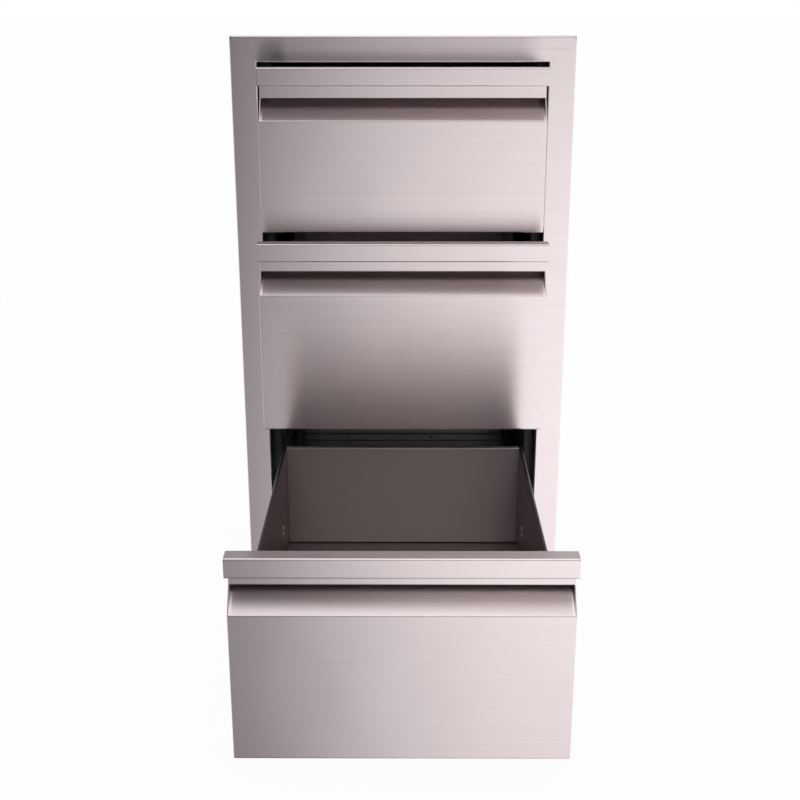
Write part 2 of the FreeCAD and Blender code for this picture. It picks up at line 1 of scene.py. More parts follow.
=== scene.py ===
import bmesh
import bpy
import json
import math
import numpy as np
from mathutils import Euler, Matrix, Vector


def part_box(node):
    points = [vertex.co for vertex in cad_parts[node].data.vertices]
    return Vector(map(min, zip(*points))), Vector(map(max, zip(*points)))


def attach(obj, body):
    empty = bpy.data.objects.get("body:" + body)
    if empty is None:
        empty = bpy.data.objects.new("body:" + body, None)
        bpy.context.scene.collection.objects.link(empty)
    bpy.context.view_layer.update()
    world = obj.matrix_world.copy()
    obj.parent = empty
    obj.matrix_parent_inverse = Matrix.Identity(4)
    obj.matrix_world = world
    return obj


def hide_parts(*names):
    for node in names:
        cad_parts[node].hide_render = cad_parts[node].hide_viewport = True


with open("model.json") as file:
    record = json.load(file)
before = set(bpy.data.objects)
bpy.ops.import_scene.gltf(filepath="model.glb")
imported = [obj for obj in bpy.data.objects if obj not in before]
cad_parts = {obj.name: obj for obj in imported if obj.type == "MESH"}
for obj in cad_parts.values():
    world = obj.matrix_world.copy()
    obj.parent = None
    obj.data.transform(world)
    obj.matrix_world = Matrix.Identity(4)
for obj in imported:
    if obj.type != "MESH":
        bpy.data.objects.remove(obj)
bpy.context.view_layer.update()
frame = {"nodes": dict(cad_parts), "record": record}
nodes = frame["nodes"]
drawerNames = ("top", "middle", "bottom")
leftAndRight = (-1, 1)
perMetre = 1000         # shapes are worked out in millimetres
hair = 0.01             # a point this near a plane lies on it, in millimetres
touching = 1e-6         # points this near each other are one, in millimetres
print("frame loaded:", len(nodes), "nodes")


# Camera: the photograph is taken from straight in front, a little above the frame's top edge
camera = {
    "place": (0.0039, -1.803, 0.8026),
    "lookDown": 18.65,      # degrees below level
    "lookLeft": 0.28,       # degrees towards -X
    "roll": -0.04,
    "lens": 55.49,
    "sensorWidth": 36,
    "clip": (0.01, 200),
}


def makeCamera(c):
    data = bpy.data.cameras.new("camera")
    data.lens = c["lens"]
    data.sensor_width = c["sensorWidth"]
    data.clip_start, data.clip_end = c["clip"]
    view = bpy.data.objects.new("camera", data)
    bpy.context.collection.objects.link(view)
    view.location = c["place"]
    aim = Euler((math.radians(90 - c["lookDown"]), 0, math.radians(c["lookLeft"])), "XYZ")
    roll = Euler((0, 0, math.radians(c["roll"])))
    view.rotation_euler = (aim.to_matrix() @ roll.to_matrix()).to_euler()
    bpy.context.scene.camera = view


makeCamera(camera)
bpy.context.scene.view_settings.view_transform = "Standard"
print("camera set")


# Shader maths: a Value is a node's output, and an expression on Values adds Math nodes
class Value:
    def __init__(self, graph, socket):
        self.graph = graph
        self.socket = socket

    def maths(self, operation, other, swapped=False):
        pair = {0: other, 1: self} if swapped else {0: self, 1: other}
        return self.graph.add("ShaderNodeMath", {"operation": operation}, pair)

    def __add__(self, other):
        return self.maths("ADD", other)

    def __radd__(self, other):
        return self.maths("ADD", other, True)

    def __sub__(self, other):
        return self.maths("SUBTRACT", other)

    def __rsub__(self, other):
        return self.maths("SUBTRACT", other, True)

    def __mul__(self, other):
        return self.maths("MULTIPLY", other)

    def __rmul__(self, other):
        return self.maths("MULTIPLY", other, True)

    def __truediv__(self, other):
        return self.maths("DIVIDE", other)

    def __pow__(self, other):
        return self.maths("POWER", other)


# One node tree. add() takes a node's type, its settings, and the values or links of its sockets
class Graph:
    def __init__(self, owner):
        owner.use_nodes = True
        self.tree = owner.node_tree
        self.tree.nodes.clear()

    def add(self, kind, settings=None, sockets=None, out=0):
        node = self.tree.nodes.new(kind)
        for key, value in (settings or {}).items():
            if key == "stops":
                self.setStops(node.color_ramp, value)
            else:
                setattr(node, key, value)
        for key, value in (sockets or {}).items():
            if isinstance(value, Value):
                self.tree.links.new(value.socket, node.inputs[key])
            else:
                node.inputs[key].default_value = value
        return Value(self, node.outputs[out]) if len(node.outputs) else None

    def setStops(self, ramp, stops):
        while len(ramp.elements) < len(stops):
            ramp.elements.new(1)
        for element, (place, shade) in zip(ramp.elements, stops):
            element.position = place
            element.color = (shade, shade, shade, 1)

    def stretched(self, vector, scale):
        return self.add("ShaderNodeVectorMath", {"operation": "MULTIPLY"}, {0: vector, 1: scale})

    def noise(self, vector, detail=2.0, rough=0.5):
        return self.add("ShaderNodeTexNoise", {}, {
            "Vector": vector, "Scale": 1.0, "Detail": detail, "Roughness": rough})

    def ramp(self, place, stops):
        return self.add("ShaderNodeValToRGB", {"stops": stops}, {0: place})

    def mixed(self, factor, first, second, blend="MIX"):
        return self.add("ShaderNodeMix", {"data_type": "RGBA", "blend_type": blend},
                        {0: factor, 6: first, 7: second}, 2)

    def mixedShader(self, factor, first, second):
        return self.add("ShaderNodeMixShader", {}, {0: factor, 1: first, 2: second})


# Brushed sheet. The grain runs along one axis, and the reflection is drawn out across it. The colour goes
# from dark to light with 0.5 + (streak - 0.5) * streakShade + (patch - 0.5) * patchShade
def brushedSteel(name, look):
    material = bpy.data.materials.new(name)
    g = Graph(material)
    place = g.add("ShaderNodeTexCoord", out="Object")
    scale = [look["grainAcross"]] * 3
    scale["XYZ".index(look["grainAxis"])] = look["grainAlong"]
    fine = g.noise(g.stretched(place, scale), *look["fineNoise"])
    streak = g.noise(g.stretched(place, [s * look["streakScale"] for s in scale]))
    patch = g.noise(g.stretched(place, [look["patchScale"]] * 3))
    shade = (streak - 0.5) * look["streakShade"] + (patch - 0.5) * look["patchShade"] + 0.5
    rough = (fine - 0.5) * look["grainRough"] + (patch - 0.5) * look["patchRough"] + look["rough"]
    height = fine * look["fineHeight"] + streak * look["streakHeight"]
    bump = g.add("ShaderNodeBump", {}, {
        "Strength": look["bump"], "Distance": look["bumpDepth"], "Height": height})
    tangent = g.add("ShaderNodeTangent", {"direction_type": "RADIAL", "axis": look["grainAxis"]})
    shader = g.add("ShaderNodeBsdfPrincipled", {}, {
        "Base Color": g.mixed(shade, look["dark"], look["light"]), "Metallic": 1.0,
        "Roughness": rough, "Normal": bump, "Anisotropic": look["drawnOut"], "Tangent": tangent})
    g.add("ShaderNodeOutputMaterial", {}, {"Surface": shader})
    return material


satinLook = {
    "light": (0.80, 0.715, 0.727, 1), "dark": (0.70, 0.622, 0.633, 1),
    "grainAxis": "X", "grainAlong": 9.0, "grainAcross": 1500.0, "drawnOut": 0.93,
    "fineNoise": (3.0, 0.6),        # detail and roughness of the grain's noise
    "streakScale": 0.16, "streakShade": 0.5, "patchScale": 5.0, "patchShade": 0.3,
    "rough": 0.215, "grainRough": 0.06, "patchRough": 0.03,
    "bump": 0.04, "bumpDepth": 0.0002, "fineHeight": 0.5, "streakHeight": 0.5,
}
sheetLook = dict(satinLook, light=(0.745, 0.668, 0.668, 1), dark=(0.665, 0.595, 0.595, 1),
                 rough=0.36, drawnOut=0.85)
# The inner fronts are a lighter copy of the sheet, as painted light: they brighten the panels and box
# backs that mirror them
innerPaintedLightLook = dict(sheetLook, light=(0.86, 0.765, 0.755, 1), dark=(0.78, 0.695, 0.685, 1))
# The trays are a much darker copy of the sheet: painted shade for the unlit inside of the drawers
trayPaintedShadeLook = dict(sheetLook, light=(0.215, 0.187, 0.184, 1), dark=(0.187, 0.163, 0.160, 1),
               grainAxis="Y")
# The case's grey steel is darkened below its own tone, as painted shade for the dark inside of the bay
casePaintedShadeLook = dict(sheetLook, light=(0.37, 0.37, 0.385, 1), dark=(0.32, 0.32, 0.335, 1), rough=0.40)
satin = brushedSteel("satinSteelAcross", satinLook)
sheetAcross = brushedSteel("sheetSteelAcross", sheetLook)
trayPaintedShadeSteel = brushedSteel("sheetSteelLengthwise", trayPaintedShadeLook)
innerFrontPaintedLight = brushedSteel("innerFrontSteelPaintedLight", innerPaintedLightLook)
caseAcrossPaintedShade = brushedSteel("caseSteelAcrossPaintedShade", casePaintedShadeLook)
caseLengthwisePaintedShade = brushedSteel("caseSteelLengthwisePaintedShade", dict(casePaintedShadeLook, grainAxis="Y"))


# Plated or polished steel, some of it darkened as painted shade or lightened as a painted highlight:
# smoother than sheet, with a faint cloudy bloom in its colour.
# Roughness is rough + (cloud - 0.5) * cloudRough + (speck - 0.5) * speckRough
def platedSteel(name, look):
    material = bpy.data.materials.new(name)
    g = Graph(material)
    place = g.add("ShaderNodeTexCoord", out="Object")
    cloud = g.noise(g.stretched(place, [look["cloudScale"]] * 3), *look["cloudNoise"])
    speck = g.noise(g.stretched(place, [look["speckScale"]] * 3))
    rough = (cloud - 0.5) * look["cloudRough"] + (speck - 0.5) * look["speckRough"] + look["rough"]
    bump = g.add("ShaderNodeBump", {}, {
        "Strength": look["bump"], "Distance": look["bumpDepth"], "Height": speck})
    shader = g.add("ShaderNodeBsdfPrincipled", {}, {
        "Base Color": g.mixed(cloud, look["dark"], look["light"]), "Metallic": 1.0,
        "Roughness": rough, "Normal": bump})
    g.add("ShaderNodeOutputMaterial", {}, {"Surface": shader})
    return material


platedLook = {
    "light": (0.34, 0.355, 0.385, 1), "dark": (0.29, 0.30, 0.325, 1),
    "cloudScale": 30.0, "cloudNoise": (4.0, 0.6), "speckScale": 900.0,
    "rough": 0.38, "cloudRough": 0.10, "speckRough": 0.06, "bump": 0.06, "bumpDepth": 0.0002,
}
# The posts are darkened to near black as painted shade for the dark bay they stand in
postPaintedShadeLook = dict(platedLook, light=(0.05, 0.052, 0.06, 1), dark=(0.035, 0.037, 0.044, 1))
# The drawer boxes' rivets are lightened to near white as a painted highlight, so that their heads glint
rivetPaintedHighlightLook = dict(platedLook, light=(0.92, 0.92, 0.92, 1), dark=(0.8, 0.8, 0.8, 1), rough=0.2)
plated = platedSteel("platedSlideSteel", platedLook)
blackened = platedSteel("blackenedPostSteel", postPaintedShadeLook)
fastener = platedSteel("fastenerSteel", dict(platedLook, rough=0.24))
rivetPaintedHighlight = platedSteel("rivetSteelPaintedHighlight", rivetPaintedHighlightLook)
polished = platedSteel("polishedBallSteel", dict(platedLook, light=(0.82, 0.82, 0.82, 1), rough=0.14))
print("finishes made")


def finishFor(name):
    # Inner fronts take the sheet lightened as painted light
    if name.endswith("inner_front"):
        return innerFrontPaintedLight
    if name.endswith(("_front", "_handle", "_end_caps")) or name == "face_frame":
        return satin
    # Trays take the sheet darkened as painted shade
    if name.endswith("tray"):
        return trayPaintedShadeSteel
    if name.endswith(("rivets", "screws", "nuts")):
        return fastener
    # The case and its rail take grey steel darkened as painted shade
    if name.startswith("case_") or name == "rear_cross_rail":
        return caseLengthwisePaintedShade if "side" in name else caseAcrossPaintedShade
    if name.endswith("ball_cages"):
        return polished
    # Posts take the steel darkened to near black as painted shade
    if name.endswith("post"):
        return blackened
    return plated if name.endswith("member") else sheetAcross


for nodeName in nodes:
    finished = nodes[nodeName].data.materials
    finished.clear()
    finished.append(finishFor(nodeName))
print("nodes finished")


# The frame's record says which body carries a node
record = frame["record"]
bodyOf = {node: body for body, members in record["behaviour"]["bodies"].items() for node in members}


# Quads between neighbouring points of a grid that is laid out row by row
def gridQuads(rows, columns, closedRows=False, closedColumns=False):
    i = np.arange(rows if closedRows else rows - 1)[:, None]
    j = np.arange(columns if closedColumns else columns - 1)[None, :]
    here, below = i * columns, (i + 1) % rows * columns
    right = (j + 1) % columns
    corners = np.broadcast_arrays(here + j, here + right, below + right, below + j)
    return np.stack(corners, -1).reshape(-1, 4)


# A shell is (points, quads, polygons). A sheet's shell joins its two faces (rows x columns x 3)
# round their rims
def sheetShell(near, far):
    rows, columns = near.shape[:2]
    points = np.concatenate([near, far[::-1]]).reshape(-1, 3)
    i = np.arange(rows - 1)
    rim = np.stack([i, i + 1, 2 * rows - 2 - i, 2 * rows - 1 - i], 1) * columns
    skin = gridQuads(2 * rows, columns, closedRows=True)
    return points, np.concatenate([skin, rim, rim + columns - 1]), []


# A stack of closed rings (rings x points x 3), with a flat polygon on its first and last ring
def ringShell(rings):
    count, around = rings.shape[:2]
    ends = [list(range(around)), list(range((count - 1) * around, count * around))]
    return rings.reshape(-1, 3), gridQuads(count, around, closedColumns=True), ends


# Points nearer than merge, in metres, become one, and edges over sharp, in degrees, stay crisp
def makePiece(name, node, shells, material, merge=1e-7, sharp=34.0):
    mesh = bpy.data.meshes.new(name)
    starts = np.cumsum([0] + [len(points) for points, _, _ in shells])
    faces = [face for start, shell in zip(starts, shells) for face in (shell[1] + start).tolist()]
    faces += [[k + int(start) for k in ends] for start, shell in zip(starts, shells) for ends in shell[2]]
    mesh.from_pydata(np.concatenate([points for points, _, _ in shells]) / perMetre, [], faces)
    work = bmesh.new()
    work.from_mesh(mesh)
    bmesh.ops.remove_doubles(work, verts=work.verts, dist=merge)
    bmesh.ops.dissolve_degenerate(work, dist=merge, edges=work.edges)
    bmesh.ops.recalc_face_normals(work, faces=work.faces)
    work.to_mesh(mesh)
    work.free()
    mesh.shade_smooth()
    mesh.set_sharp_from_angle(angle=math.radians(sharp))
    mesh.materials.append(material)
    piece = bpy.data.objects.new(name, mesh)
    bpy.context.collection.objects.link(piece)
    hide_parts(node)
    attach(piece, bodyOf[node])


# A bent line in a plane: straight runs, and at each inner point an arc about one centre,
# centre - turn's sign * radius * normal, while the normal turns evenly from one run's left side to the
# next's. The radius is the bend's inside radius, so it grows by the thickness where the line turns
# right, away from the metal
def bentLine(points, radii, thickness=0.0, steps=7, longest=60.0, rim=0.35):
    points = np.array(points, float)
    span = np.diff(points, axis=0)
    length = np.linalg.norm(span, axis=1)
    along = span / length[:, None]
    left = np.stack([-along[:, 1], along[:, 0]], 1)
    cross = along[:-1, 0] * along[1:, 1] - along[:-1, 1] * along[1:, 0]
    turn = np.arctan2(cross, (along[:-1] * along[1:]).sum(1))
    bend = np.array(radii, float) + np.where(turn < 0, thickness, 0.0)
    reach = np.concatenate([[0.0], bend * np.tan(abs(turn) / 2), [0.0]])
    places, normals = [], []
    for k, total in enumerate(length):
        free = total - reach[k] - reach[k + 1]
        edge = min(rim, free / 3)
        middle = np.linspace(edge, free - edge, max(2, math.ceil(free / longest) + 1))
        steady = reach[k] + np.concatenate([[0.0], middle, [free]])
        places.append(points[k] + steady[:, None] * along[k])
        normals.append(np.repeat(left[k:k + 1], len(steady), 0))
        if k < len(turn) and bend[k] > 0:
            angle = turn[k] * np.linspace(0, 1, steps + 1)[1:-1]
            cos, sin, sign = np.cos(angle), np.sin(angle), math.copysign(1.0, turn[k])
            arc = np.stack([left[k, 0] * cos - left[k, 1] * sin, left[k, 0] * sin + left[k, 1] * cos], 1)
            centre = points[k + 1] - along[k] * reach[k + 1] + left[k] * bend[k] * sign
            places.append(centre - arc * bend[k] * sign)
            normals.append(arc)
    return np.concatenate(places), np.concatenate(normals)


# A closed outline with rounded corners and normals that point out of it. The two points of a sharp
# corner become one, with the mitre as its normal
def closedOutline(corners, radii, steps=5, longest=1000.0, rim=0.2):
    middle = (np.array(corners[0], float) + corners[-1]) / 2
    line = [middle] + list(corners) + [middle]
    places, normals = bentLine(line, radii, steps=steps, longest=longest, rim=rim)
    places, normals = places[:-1], normals[:-1]
    same = np.linalg.norm(places - np.roll(places, -1, 0), axis=1) < touching
    after = np.roll(normals, -1, 0)
    mitre = (normals + after) / (1 + (normals * after).sum(1, keepdims=True))
    normals = np.where(same[:, None], mitre, normals)
    keep = ~np.roll(same, 1)
    nextPlace = np.roll(places, -1, 0)
    area = (places[:, 0] * nextPlace[:, 1] - places[:, 1] * nextPlace[:, 0]).sum()
    return places[keep], normals[keep] * (-1 if area > 0 else 1)


# Plate between x0 and x1: rings of its outline, drawn in by edge * (1 - cos a) while x goes on by
# edge * sin a
def plateShell(outline, normals, x0, x1, edge, toSpace, share=1.0, steps=6):
    angle = np.linspace(0, math.pi / 2, steps)
    sign = math.copysign(1.0, x1 - x0)
    x = np.concatenate([[x0], x1 - sign * edge * (1 - np.sin(angle))])
    inset = np.concatenate([[0.0], edge * (1 - np.cos(angle))])
    flat = outline[None] - normals[None] * inset[:, None, None] * np.reshape(share, (1, -1, 1))
    x = np.broadcast_to(x[:, None], flat.shape[:2])
    return ringShell(toSpace(x, flat[..., 0], flat[..., 1]))


def inPlace(x, y, z):
    return np.stack([x, y, z], -1)


def boxShell(low, high, edge=0.15):
    corners = [(low[1], low[2]), (high[1], low[2]), (high[1], high[2]), (low[1], high[2])]
    flat, normals = closedOutline(corners, [edge] * 4, steps=2)
    return plateShell(flat, normals, low[0], high[0], edge, inPlace)


def boxOf(node):
    low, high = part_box(node)
    return np.array(low) * perMetre, np.array(high) * perMetre


print("mesh tools ready")


# Drawer fronts, in millimetres. p is how far a point stands out of the frame's face, q its drop below
# the drawer's top
drawerFront = {
    "half": 180.5, "reachIn": 14.0, "standOut": 20.5, "sheet": 1.2, "bend": 0.8,
    "mouthDrop": 64.9, "floorRise": math.tan(math.radians(37)),     # finger pocket
    "wallLow": 32.0, "wallHigh": 13.2, "wallTop": 2.0, "wallTopOut": 1.7,
    "cheekOut": 2.0, "cheekDrop": 38.5, "cheekCorner": 1.0, "barDrop": 22.7, "barRear": -0.8,
    "edge": 1.0, "edgeFrom": 1.5, "edgeGrowth": 0.4,        # the cheeks' rounding starts at edgeFrom
    "bow": 0.22, "ripple": 0.06, "ripplesAcross": 9, "ripplesDown": 4,
    "rippleShift": {"top": 0.0, "middle": 1.9, "bottom": 4.1},
    "columns": 49, "longest": 9.0,
}
handleBar = {
    "half": 180.6, "lipHalf": 179.2, "sheet": 1.2, "bend": 0.7, "hemBend": 0.05,
    "standOut": 20.2, "depth": 20.9, "height": 22.6, "rearDrop": 12.0,
    "lipOut": 2.0, "lipDrop": 38.5, "hemOut": -0.6, "hemTop": 31.5,
    "capWidth": 1.2, "capEdge": 0.35, "capSteps": 7, "columns": 41, "longest": 8.0,
}


# The drawer's face plane and top edge are read from its front and its handle
def drawerSpace(drawer):
    faceY = boxOf(drawer + "_front")[0][1] + drawerFront["standOut"]
    topZ = boxOf(drawer + "_handle")[1][2]
    return lambda x, p, q: np.stack([x, faceY - p, topZ - q], -1)


# A sheet bent along a line and drawn out along x: near = place + wave * normal and
# far = near - thickness * normal. half gives each row's half width, wave(x, p, q) how far the metal is
# bowed there
def bentShell(line, radii, thickness, half, columns, toSpace, wave, longest):
    places, normals = bentLine(line, radii, thickness, longest=longest)
    half = np.array([half(*place) for place in places]) if callable(half) else np.full(len(places), half)
    x = half[:, None] * np.linspace(-1, 1, columns)
    p, q = (np.repeat(places[:, k:k + 1], columns, 1) for k in (0, 1))
    bowed = wave(x, p, q) if wave else 0.0
    behind = bowed - thickness
    near = toSpace(x, p + bowed * normals[:, :1], q + bowed * normals[:, 1:])
    far = toSpace(x, p + behind * normals[:, :1], q + behind * normals[:, 1:])
    return sheetShell(near, far)


# The panel is hollow by a hair, most at its middle, with a faint ripple: (1 - (x / half)^2) * sin(pi * s)
# * (ripple * sin(9x / half) * cos(4s) - bow), where s runs from 0 to 1 down the panel
def makeFront(drawer):
    f = drawerFront
    space = drawerSpace(drawer)
    height = boxOf(drawer + "_handle")[1][2] - boxOf(drawer + "_front")[0][2]
    inner = f["half"] - f["sheet"]
    wallOut = f["sheet"] - f["reachIn"]
    floorDrop = f["mouthDrop"] - (f["standOut"] - wallOut) * f["floorRise"]
    line = [(-f["reachIn"], height), (f["standOut"], height), (f["standOut"], f["mouthDrop"]),
            (wallOut, floorDrop), (wallOut, f["wallLow"]), (f["wallTopOut"], f["wallHigh"]),
            (f["wallTopOut"], f["wallTop"])]
    shift = f["rippleShift"][drawer]

    def wave(x, p, q):
        onPanel = p > f["standOut"] - hair
        s = np.clip((q - f["mouthDrop"]) / (height - f["mouthDrop"]), 0, 1) * onPanel
        across = np.sin(f["ripplesAcross"] * x / inner + shift)
        ripple = f["ripple"] * across * np.cos(f["ripplesDown"] * s + shift)
        return (1 - (x / inner) ** 2) * np.sin(np.pi * s) * (ripple - f["bow"])

    bends = [f["bend"]] * 5
    skin = bentShell(line, bends, f["sheet"], inner, f["columns"], space, wave, f["longest"])
    share = (f["wallTopOut"] - f["barRear"]) / (f["wallTopOut"] - wallOut)
    wallDrop = f["wallHigh"] + share * (f["wallLow"] - f["wallHigh"])
    corners = [(-f["reachIn"], height), (f["standOut"], height), (f["standOut"], f["mouthDrop"]),
               (f["cheekOut"], f["cheekDrop"]), (f["cheekOut"], f["barDrop"]),
               (f["barRear"], f["barDrop"]), (f["barRear"], wallDrop), (wallOut, f["wallLow"]),
               (-f["reachIn"], f["wallLow"])]
    outer = f["bend"] + f["sheet"]
    outline, normals = closedOutline(corners, [0, outer, outer, f["cheekCorner"], 0, 0, 0, 0, 0])
    rounded = np.clip((outline[:, 0] - f["edgeFrom"]) / f["edgeGrowth"], 0, 1)
    cheeks = [plateShell(outline, normals, side * inner, side * f["half"], f["edge"], space, rounded)
              for side in leftAndRight]
    makePiece(drawer + "FoldedFront", drawer + "_front", [skin] + cheeks, satin)


# The bar and its finger lip are one strip. The lip is the narrower part, between the pocket's cheeks
def makeHandle(drawer):
    h = handleBar
    space = drawerSpace(drawer)
    rear = h["standOut"] - h["depth"]
    line = [(h["hemOut"], h["hemTop"]), (h["hemOut"], h["lipDrop"]), (h["lipOut"], h["lipDrop"]),
            (h["lipOut"], h["height"]), (h["standOut"], h["height"]), (h["standOut"], 0.0),
            (rear, 0.0), (rear, h["rearDrop"])]
    bends = [h["hemBend"]] * 2 + [h["bend"]] * 4
    lipTop = h["height"] + 5 * hair

    def half(p, q):
        return h["lipHalf"] if q > lipTop else h["half"]

    strip = bentShell(line, bends, h["sheet"], half, h["columns"], space, None, h["longest"])
    makePiece(drawer + "FoldedHandle", drawer + "_handle", [strip], satin)
    outer = h["bend"] + h["sheet"]
    corners = [(rear, 0.0), (h["standOut"], 0.0), (h["standOut"], h["height"]), (rear, h["height"])]
    outline, normals = closedOutline(corners, [outer, outer, outer, h["bend"]], h["capSteps"])
    caps = [plateShell(outline, normals, side * h["half"], side * (h["half"] + h["capWidth"]),
                       h["capEdge"], space) for side in leftAndRight]
    makePiece(drawer + "BarEnds", drawer + "_handle_end_caps", caps, satin)


# Drawer boxes. The tray's line is in the x-z plane and is drawn out along y
drawerBox = {
    "sheet": 1.0, "lap": 0.1,       # flange and apron reach this far into the sheet they leave
    "hemHalf": 159.5, "innerHalf": 155.5, "hemDrop": 8.0, "hemBend": 0.5, "floorBend": 1.5,
    "apron": 11.0, "flangeHalf": 166.5, "rows": 33, "trayLongest": 14.0, "bow": 0.3,
    "backFoot": 11.0, "backHem": 8.0, "backHemDrop": 5.0, "backBend": 0.5, "notch": 1.5,
    "columns": 25, "backLongest": 12.0,
}


# Walls and floor are bowed by bow * sin(pi * u) * sin(pi * v), u along the tray and v up the wall or
# across the floor
def makeTray(drawer):
    t = drawerBox
    (_, frontY, lowZ), (_, rearY, top) = boxOf(drawer + "_tray")
    floor = lowZ + t["apron"]
    hem, inner = t["hemHalf"], t["innerHalf"]
    line = [(-hem, top - t["hemDrop"]), (-hem, top), (-inner, top), (-inner, floor),
            (inner, floor), (inner, top), (hem, top), (hem, top - t["hemDrop"])]
    bends = [t["hemBend"]] * 2 + [t["floorBend"]] * 2 + [t["hemBend"]] * 2
    middleY, halfRun = (frontY + rearY) / 2, (rearY - frontY) / 2

    def space(run, a, b):
        return np.stack([a, middleY + run, b], -1)

    def wave(run, a, b):
        onWall = (abs(abs(a) - inner) < hair) & (b < top - t["sheet"])
        onFloor = b < floor + hair
        v = np.where(onFloor, (a + inner) / (2 * inner), 0.0)
        v = np.where(onWall, (b - floor) / (top - floor), v)
        return t["bow"] * np.cos(np.pi / 2 * run / halfRun) * np.sin(np.pi * np.clip(v, 0, 1))

    skin = bentShell(line, bends, t["sheet"], halfRun, t["rows"], space, wave, t["trayLongest"])
    start = t["sheet"] - t["lap"]
    behind = frontY + t["sheet"]
    plates = []
    for side in leftAndRight:
        ends = sorted([side * (inner + start), side * t["flangeHalf"]])
        plates.append(boxShell((ends[0], frontY, floor + t["floorBend"]),
                               (ends[1], behind, top - t["hemDrop"])))
    reach = inner - t["floorBend"]
    plates.append(boxShell((-reach, frontY, lowZ), (reach, behind, floor - start)))
    makePiece(drawer + "FoldedTray", drawer + "_tray", [skin] + plates, trayPaintedShadeSteel)


# The back is bowed by bow * (1 - (x / half)^2) * sin(pi * v), where v runs from 0 to 1 up the sheet
def makeBoxBack(drawer):
    t = drawerBox
    (_, frontY, low), (halfBack, _, top) = boxOf(drawer + "_box_back")
    line = [(frontY + t["backFoot"], low), (frontY, low), (frontY, top),
            (frontY + t["backHem"], top), (frontY + t["backHem"], top - t["backHemDrop"])]

    def half(y, z):
        return halfBack - t["notch"] if z < low + t["notch"] else halfBack

    def wave(x, y, z):
        v = np.clip((z - low) / (top - low), 0, 1) * (y < frontY + hair)
        return -t["bow"] * (1 - (x / halfBack) ** 2) * np.sin(np.pi * v)

    bends = [t["backBend"]] * 3
    skin = bentShell(line, bends, t["sheet"], half, t["columns"], inPlace, wave, t["backLongest"])
    wings = []
    for side in leftAndRight:
        ends = sorted([side * halfBack, side * (halfBack - t["sheet"])])
        wings.append(boxShell((ends[0], frontY + t["sheet"], low + t["notch"]),
                              (ends[1], frontY + t["backFoot"], top - t["backHemDrop"])))
    makePiece(drawer + "FoldedBoxBack", drawer + "_box_back", [skin] + wings, sheetAcross)


for drawer in drawerNames:
    makeFront(drawer)
    makeHandle(drawer)
    makeTray(drawer)
    makeBoxBack(drawer)
print("drawers folded")


# Face frame, in millimetres. u runs outwards from the opening's edge, depth runs back from the face
faceFrame = {
    "sheet": 1.2, "edgeReturn": 8.0, "collar": 20.0, "bend": 0.7, "openingHalf": (182.6, 351.1),
    "perSide": 96, "longest": 2.0,
    "lean": 1.7, "swell": 1.7, "swellPower": 5, "swellEnds": 36.0,
    "faceShare": 0.9,       # what lies less deep than this share of the sheet is sprung
    "studRadius": 2.0, "studLength": 6.2, "studSunk": 0.2, "threadPitch": 0.7, "threadDepth": 0.22,
}
thread = {"stepsPerPitch": 4, "studColumns": 20, "tipRound": 0.3, "tipLength": 0.4}


# Pin with a thread: radius - depth * (0.5 - 0.5 cos(2 pi a / pitch - angle)) at length a, tapered over
# its last pitch, and its tip drawn in by up to tipRound
def threadedRings(radius, start, end, pitch, depth, around):
    step = pitch / thread["stepsPerPitch"]
    a = np.concatenate([np.arange(start, end, step), [end]])[:, None]
    angle = np.linspace(0, 2 * np.pi, around, endpoint=False)[None]
    taper = np.clip((end - a) / pitch, 0, 1) * np.clip((a - start) / step, 0, 1)
    groove = depth * (0.5 - 0.5 * np.cos(2 * np.pi * a / pitch - angle)) * taper
    tip = thread["tipRound"] * (1 - np.clip((end - a) / thread["tipLength"], 0, 1))
    rings = radius - groove - tip
    return rings, np.broadcast_to(a, rings.shape)


# Rings about an axis: centre + radius * (cos angle, sin angle) across the axis + a along it
def turnedShell(radius, along, centre, axis):
    radius, along = np.atleast_2d(radius), np.atleast_2d(along)
    axis = np.array(axis, float)
    side = np.roll(axis, 1)
    other = np.cross(axis, side)
    angle = np.linspace(0, 2 * np.pi, radius.shape[1], endpoint=False)[None]
    points = (np.array(centre) + (radius * np.cos(angle))[..., None] * side
              + (radius * np.sin(angle))[..., None] * other + along[..., None] * axis)
    return ringShell(points)


# Separate solids of a node: points that share a triangle take the lowest label until nothing changes
def solidBoxes(node):
    mesh = nodes[node].data
    places = np.empty(len(mesh.vertices) * 3)
    mesh.vertices.foreach_get("co", places)
    mesh.calc_loop_triangles()
    corners = np.empty(len(mesh.loop_triangles) * 3, dtype=int)
    mesh.loop_triangles.foreach_get("vertices", corners)
    places = places.reshape(-1, 3) * perMetre
    _, same = np.unique(np.round(places, 3), axis=0, return_inverse=True)
    same = same.reshape(-1)
    triangles = same[corners].reshape(-1, 3)
    label = np.arange(same.max() + 1)
    while True:
        lowest = label[triangles].min(1)
        fresh = label.copy()
        np.minimum.at(fresh, triangles.reshape(-1), np.repeat(lowest, 3))
        if (fresh == label).all():
            break
        label = fresh
    owner = label[same]
    return [(places[owner == k].min(0), places[owner == k].max(0)) for k in np.unique(owner)]


